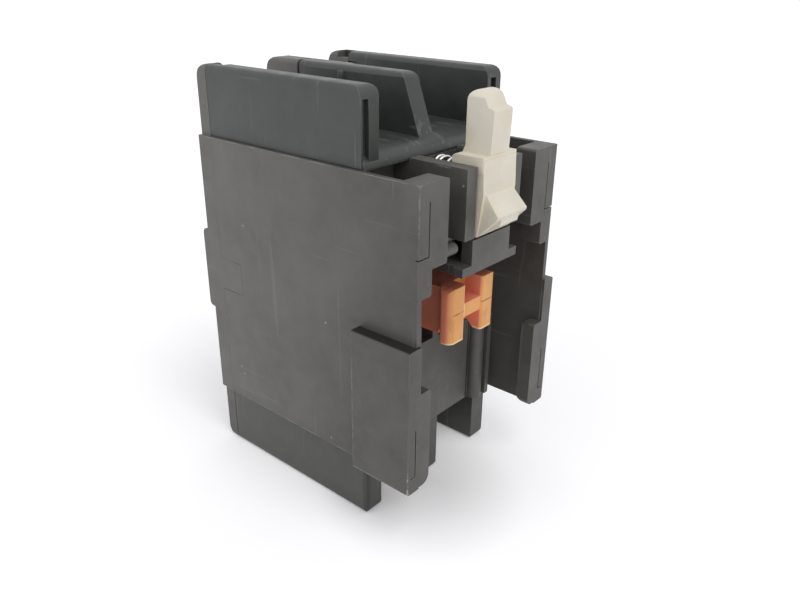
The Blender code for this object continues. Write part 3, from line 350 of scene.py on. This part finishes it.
def finish_plastic(graph, color, rough_low, rough_high, grain):
    """Colour, uneven gloss and moulded grain that all the plastics share."""
    graph.feed("Base Color", color)
    rough = graph.span(graph.noise(520.0, detail=4.0), 0.3, 0.7, rough_low, rough_high)
    graph.feed("Roughness", rough)
    fine = graph.bump(graph.noise(3200.0, detail=2.0, roughness=0.6), grain, GRAIN_DEPTH * MM)
    broad = graph.bump(graph.noise(110.0, detail=2.0), 0.1, SWELL_DEPTH * MM, fine)
    graph.feed("Normal", broad)
    return graph.owner


def soften_inside(graph, weight, radius):
    """Let light spread a little way into the plastic."""
    graph.hold("Subsurface Weight", weight)
    graph.hold("Subsurface Radius", radius)
    graph.hold("Subsurface Scale", SPREAD_DEPTH * MM)


def black_tone(graph, dark, light, worn_and_sheen, front_sheen):
    """Cloudy and mottled black, with painted sheen at the front, rubbed wear and painted highlights
    on its rims, and a painted warm reflection low down.
    """
    cloud = graph.span(graph.noise(95.0, detail=5.0, roughness=0.55), 0.3, 0.7)
    color = graph.mix(cloud, dark, light)
    mottle = graph.noise(620.0, detail=5.0, roughness=0.7)
    color = graph.mix(graph.span(mottle, 0.35, 0.65, to_high=0.35), color, light)
    depth = graph.along("Position", Y)
    # Painted sheen: the front is lighter, standing in for the stronger reflection there
    sheen_at_front = graph.fall(depth, FRONT_Y + SHEEN_START * MM, FRONT_Y + SHEEN_END * MM, top=front_sheen)
    color = graph.mix(sheen_at_front, color, worn_and_sheen)
    # Rubbed wear and painted highlight along the rims
    patches = graph.span(graph.noise(260.0, detail=5.0, roughness=0.65), 0.4, 0.62)
    color = graph.cover(color, worn_and_sheen, graph.edges(radius=0.16), patches, strength=0.5)
    height = graph.along("Position", Z)
    # Painted warm reflection: warmer low down
    warm_reflection = graph.fall(height, WARM_REFLECTION_FULL * MM, WARM_REFLECTION_END * MM, top=0.6)
    return graph.mix(warm_reflection, color, LOW_WARM_REFLECTION)


def highlit_and_rubbed_seams(graph, color):
    """Pale broken line on the side faces where the shells meet below and above the band: painted
    highlight on the edges there, with rubbed wear.
    """
    height = graph.along("Position", Z)
    lower = graph.away(height, BAND_BOTTOM * MM)
    upper = graph.away(height, BAND_TOP * MM)
    at_seam = graph.line(graph.maths("MINIMUM", lower, upper), SEAM_LINE)
    sideways = graph.span(graph.away(graph.along("Normal", X)), 0.5, 0.9)
    broken = graph.span(graph.noise(480.0, detail=4.0, roughness=0.6), 0.42, 0.6)
    return graph.cover(color, SEAM_WEAR_AND_HIGHLIGHT, at_seam, sideways, broken, strength=0.6)


def scratched(graph, color, worn_and_sheen):
    """Fine upright and level scratches, rubs on the slab and pale specks."""
    lines = graph.largest(graph.scratches(UPRIGHT_LINES, 0.7), graph.scratches(LEVEL_LINES, 0.71))
    color = graph.cover(color, worn_and_sheen, lines, strength=0.22)
    rubs = graph.scratches(SLAB_LINES, 0.6)
    color = graph.cover(color, worn_and_sheen, graph.near(*SLAB_MARKS), rubs, strength=0.35)
    dots = graph.specks(420.0, size=0.07, share=0.05)
    return graph.cover(color, PALE_SPECK, dots, strength=0.5)


def scuffed(graph, color):
    """Pale broken scuffs on the raised block's edges and on the corner of the upper leg."""
    corner = graph.near(*BLOCK_CORNER)
    edge = graph.times(graph.near(*BLOCK_EDGE), 0.35)
    leg = graph.times(graph.near(*LEG_CORNER), 0.3)
    marks = graph.largest(corner, edge, leg)
    broken = graph.span(graph.noise(1100.0, roughness=0.6), 0.44, 0.56)
    rims = graph.edges(radius=0.3, start=0.01, full=0.08)
    return graph.cover(color, SCUFF, marks, rims, broken, strength=0.8)


def darken_ledge_and_corner(graph, color):
    """Painted shade on the top of the raised block's ledge, and a dark band on the lower barrier's
    corner.
    """
    upward = graph.span(graph.along("Normal", Z), 0.4, 0.8)
    ledge = graph.span(graph.near(*BLOCK_LEDGE), 0.0, 0.3)
    # Painted shade on the ledge's top
    color = graph.cover(color, LEDGE_PAINTED_SHADE, upward, ledge, strength=0.95)
    return graph.cover(color, LOW_CORNER_DARK, graph.near(*LOW_BARRIER_CORNER), strength=0.75)


def black_plastic(name, dark, light, worn_and_sheen, gloss, front_sheen):
    """Black moulding with scratches, scuffs, rubbed wear and painted highlights on its rims and
    seams, painted sheen, reflection and shade, and a darker corner band.
    """
    graph = new_look(name)
    color = black_tone(graph, dark, light, worn_and_sheen, front_sheen)
    color = highlit_and_rubbed_seams(graph, color)
    color = scratched(graph, color, worn_and_sheen)
    color = scuffed(graph, color)
    color = darken_ledge_and_corner(graph, color)
    return finish_plastic(graph, color, gloss, gloss + GLOSS_SPREAD, grain=0.2)


def head_rims(graph, rearward):
    """Thin light borders on the rear face of the head and along its bottom."""
    side = graph.along("Position", X)
    inner = graph.away(side, HEAD_GAP_HALF * MM)
    outer = graph.away(side, -HEAD_HALF * MM)
    foot = graph.away(graph.along("Position", Z), HEAD_BOTTOM * MM)
    upright = graph.line(graph.maths("MINIMUM", inner, outer), HEAD_RIM_LINE, top=0.9)
    level = graph.line(foot, HEAD_RIM_LINE, top=0.9)
    return graph.largest(graph.times(upright, rearward), level)


def head_marks(graph, color, rearward):
    """A dark broken parting line and faint streaks on the two pads of the head."""
    height = graph.away(graph.along("Position", Z), HEAD_SEAM_Z * MM)
    line = graph.line(height, HEAD_SEAM_LINE)
    aside = graph.away(graph.along("Position", X))
    on_pads = graph.maths("GREATER_THAN", aside, HEAD_GAP_HALF * MM)
    broken = graph.span(graph.noise(700.0), 0.38, 0.54)
    color = graph.cover(color, ORANGE_SEAM, line, rearward, broken, on_pads, strength=0.75)
    streaks = graph.scratches(HEAD_LINES, 0.63)
    return graph.cover(color, ORANGE_STREAK, streaks, rearward, on_pads, strength=0.18)


def orange_plastic():
    """Orange moulding, painted redder on its shaded sides and yellower on its lit rear face, with
    light rims and dark handling marks.
    """
    graph = new_look("orange_plastic_look")
    cloud = graph.span(graph.noise(240.0, detail=4.0), 0.35, 0.65)
    rearward = graph.span(graph.along("Normal", Y), 0.3, 0.8)
    # Painted light: rear faces take the lit, yellower copy and sides the shaded, redder one
    color = graph.mix(rearward, graph.mix(cloud, *ORANGE_SHADED_SIDES), graph.mix(cloud, *ORANGE_LIT_REAR))
    color = graph.mix(head_rims(graph, rearward), color, ORANGE_RIM)
    color = head_marks(graph, color, rearward)
    smudge = graph.span(graph.noise(380.0, detail=4.0, roughness=0.7), 0.62, 0.74)
    color = graph.cover(color, ORANGE_SMUDGE, smudge, strength=0.35)
    soften_inside(graph, 0.15, (1.0, 0.35, 0.12))
    return finish_plastic(graph, color, rough_low=0.34, rough_high=0.46, grain=0.12)


def cream_plastic():
    """Cream moulding, a little yellowed in patches, painted warmer on its rims for the light that
    shines through the thin edges, with a few specks of dirt.
    """
    graph = new_look("cream_plastic_look")
    cloud = graph.span(graph.noise(200.0, detail=4.0), 0.35, 0.65)
    color = graph.mix(cloud, *CREAM_CLEAN)
    aged = graph.span(graph.noise(330.0), 0.5, 0.72)
    color = graph.cover(color, CREAM_AGED, aged, strength=0.35)
    # Painted light: warmer rims where light shines through the thin edges
    color = graph.cover(color, CREAM_EDGE_LIGHT, graph.edges(radius=0.3), strength=0.25)
    dirt = graph.specks(900.0, size=0.09, share=0.05)
    color = graph.cover(color, CREAM_DIRT, dirt, strength=0.4)
    soften_inside(graph, 0.12, (1.0, 0.7, 0.45))
    return finish_plastic(graph, color, rough_low=0.34, rough_high=0.46, grain=0.12)


def metal(name, dark, light, rough_low, rough_high, stretch=(1.0, 1.0, 1.0)):
    """Bare or plated metal, with drawn lines where the noise is stretched along an axis."""
    graph = new_look(name)
    lines = graph.noise(900.0, detail=4.0, roughness=0.6, stretch=stretch)
    cloud = graph.span(graph.noise(300.0), 0.35, 0.65)
    graph.feed("Base Color", graph.mix(cloud, dark, light))
    graph.feed("Roughness", graph.span(lines, 0.3, 0.7, rough_low, rough_high))
    graph.feed("Normal", graph.bump(lines, 0.15, DRAWN_DEPTH * MM))
    graph.hold("Metallic", 1.0)
    return graph.owner


SHELL = black_plastic(
    "black_shell_look", dark=(0.0435, 0.0418, 0.037), light=(0.087, 0.0845, 0.0745),
    worn_and_sheen=(0.198, 0.194, 0.178), gloss=0.42, front_sheen=0.3)
CORE = black_plastic(
    "black_core_look", dark=(0.024, 0.0275, 0.0255), light=(0.047, 0.0515, 0.048),
    worn_and_sheen=(0.18, 0.183, 0.175), gloss=0.34, front_sheen=0.07)
ORANGE = orange_plastic()
CREAM = cream_plastic()
WIRE = metal("spring_steel_look", (0.74, 0.74, 0.72), (0.86, 0.86, 0.85), 0.34, 0.48)
BRASS = metal("brass_look", (0.68, 0.46, 0.2), (0.8, 0.6, 0.3), 0.28, 0.45, (1.0, 0.1, 1.0))
SILVER = metal("silver_contact_look", (0.7, 0.69, 0.66), (0.82, 0.81, 0.79), 0.25, 0.42)
ZINC = metal("zinc_steel_look", (0.5, 0.51, 0.53), (0.66, 0.67, 0.68), 0.26, 0.42, (1.0, 1.0, 0.2))

LOOKS = {
    "front_cover": SHELL,
    "mating_frame": SHELL,
    "terminal_housing": CORE,
    "contact_carrier": ORANGE,
    "release_latch": CREAM,
}


def look_for(name):
    """The material of a node, by its name or by the kind of piece that its name tells."""
    if name in LOOKS:
        return LOOKS[name]
    if "spring" in name:
        return WIRE
    if "tip" in name:
        return SILVER
    if name.startswith(("fixed_contact", "contact_bridge")):
        return BRASS
    return ZINC


def weld(item):
    """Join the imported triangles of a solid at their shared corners."""
    joined = item.modifiers.new("weld", "WELD")
    joined.merge_threshold = WELD_DISTANCE * MM


def rounded_edges(item, width):
    """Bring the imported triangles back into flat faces, then round their edges."""
    weld(item)
    flat = item.modifiers.new("flat_faces", "DECIMATE")
    flat.decimate_type = "DISSOLVE"
    flat.angle_limit = math.radians(FLAT_ANGLE)
    bevel = item.modifiers.new("round_edges", "BEVEL")
    bevel.width = width * MM
    bevel.segments = EDGE_SEGMENTS
    bevel.limit_method = "ANGLE"
    bevel.angle_limit = math.radians(EDGE_ANGLE)
    bevel.use_clamp_overlap = True
    bevel.miter_outer = "MITER_ARC"
    normal = item.modifiers.new("even_shading", "WEIGHTED_NORMAL")
    normal.keep_sharp = False
    normal.weight = FLAT_WEIGHT


def round_wire(item):
    """Make the wire of a coil smooth and round."""
    weld(item)
    smooth = item.modifiers.new("round_wire", "SUBSURF")
    smooth.levels = 1
    smooth.render_levels = 1


def dress_nodes():
    """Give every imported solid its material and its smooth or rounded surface."""
    for name, node in NODES.items():
        node.data.materials.clear()
        node.data.materials.append(look_for(name))
        node.data.shade_smooth()
        if "spring" in name:
            round_wire(node)
        else:
            rounded_edges(node, EDGE_WIDTHS.get(name, SMALL_EDGE))


def seen_directly(graph):
    """One for camera, glossy and transmission rays, which show the background as white."""
    rays = graph.add("ShaderNodeLightPath").outputs
    return graph.largest(rays["Is Camera Ray"], rays["Is Glossy Ray"], rays["Is Transmission Ray"])


def floor_look():
    """Pale floor, lifted to white where it is seen directly, and least in the contact shadow."""
    graph = new_look("floor_look")
    cloud = graph.span(graph.noise(3.0), 0.3, 0.7)
    graph.feed("Base Color", graph.mix(cloud, *FLOOR_COLORS))
    graph.hold("Roughness", 0.7)
    graph.hold("Specular IOR Level", 0.1)
    from_middle = graph.length(graph.position())
    lift = graph.span(from_middle, LIFT_START, LIFT_END, FLOOR_LIFT_NEAR, FLOOR_LIFT_FAR)
    beside_foot = graph.distance(SHADOW_CENTRE)
    shaded = graph.span(beside_foot, SHADOW_CORE, SHADOW_REACH, to_low=SHADOW_SHARE)
    graph.hold("Emission Color", FLOOR_LIFT_COLOR)
    graph.feed("Emission Strength", graph.times(seen_directly(graph), shaded, lift))
    return graph.owner


def make_floor():
    """A wide plain floor that keeps the part's soft shadow."""
    mesh = bpy.data.meshes.new("floor")
    grid = bmesh.new()
    bmesh.ops.create_grid(grid, x_segments=8, y_segments=8, size=FLOOR_HALF)
    grid.to_mesh(mesh)
    grid.free()
    mesh.materials.append(floor_look())
    floor = bpy.data.objects.new("floor", mesh)
    bpy.context.scene.collection.objects.link(floor)


def make_camera():
    """Camera at the place found from straight edges in the photograph."""
    azimuth = math.radians(CAMERA_AZIMUTH)
    elevation = math.radians(CAMERA_ELEVATION)
    roll = math.radians(CAMERA_ROLL)
    level = math.cos(elevation)
    back = Vector((math.sin(azimuth) * level, -math.cos(azimuth) * level, math.sin(elevation)))
    right = Vector((0, 0, 1)).cross(back).normalized()
    up = back.cross(right)
    tilted_right = math.cos(roll) * right + math.sin(roll) * up
    tilted_up = math.cos(roll) * up - math.sin(roll) * right
    rotation = Matrix((tilted_right, tilted_up, back)).transposed()
    data = bpy.data.cameras.new("camera")
    data.sensor_width = SENSOR_WIDTH
    data.lens = FOCAL_PIXELS * SENSOR_WIDTH / PHOTO_WIDTH
    data.clip_start = NEAR_CLIP
    data.clip_end = FAR_CLIP
    camera = bpy.data.objects.new("camera", data)
    camera.matrix_world = Matrix.Translation(point(*CAMERA_PLACE)) @ rotation.to_4x4()
    bpy.context.scene.collection.objects.link(camera)
    bpy.context.scene.camera = camera


def make_lamp(name, place, power):
    """A round soft lamp that looks at the part."""
    data = bpy.data.lights.new(name, "AREA")
    data.shape = "DISK"
    data.size = LAMP_SIZE
    data.energy = power
    lamp = bpy.data.objects.new(name, data)
    lamp.location = place
    towards = Vector(LAMP_TARGET) - Vector(place)
    lamp.rotation_euler = towards.to_track_quat("-Z", "Y").to_euler()
    bpy.context.scene.collection.objects.link(lamp)


def make_world():
    """Even pale surround, shown as white to the camera and in reflections."""
    world = bpy.data.worlds.new("studio")
    graph = Graph(world, "Background")
    graph.hold("Color", WORLD_COLOR)
    graph.feed("Strength", graph.span(seen_directly(graph), 0.0, 1.0, to_low=WORLD_LEVEL))
    bpy.context.scene.world = world


dress_nodes()
make_floor()
make_camera()
make_world()
make_lamp("key", KEY_PLACE, KEY_POWER)
make_lamp("fill", FILL_PLACE, FILL_POWER)
bpy.context.scene.view_settings.view_transform = "Standard"
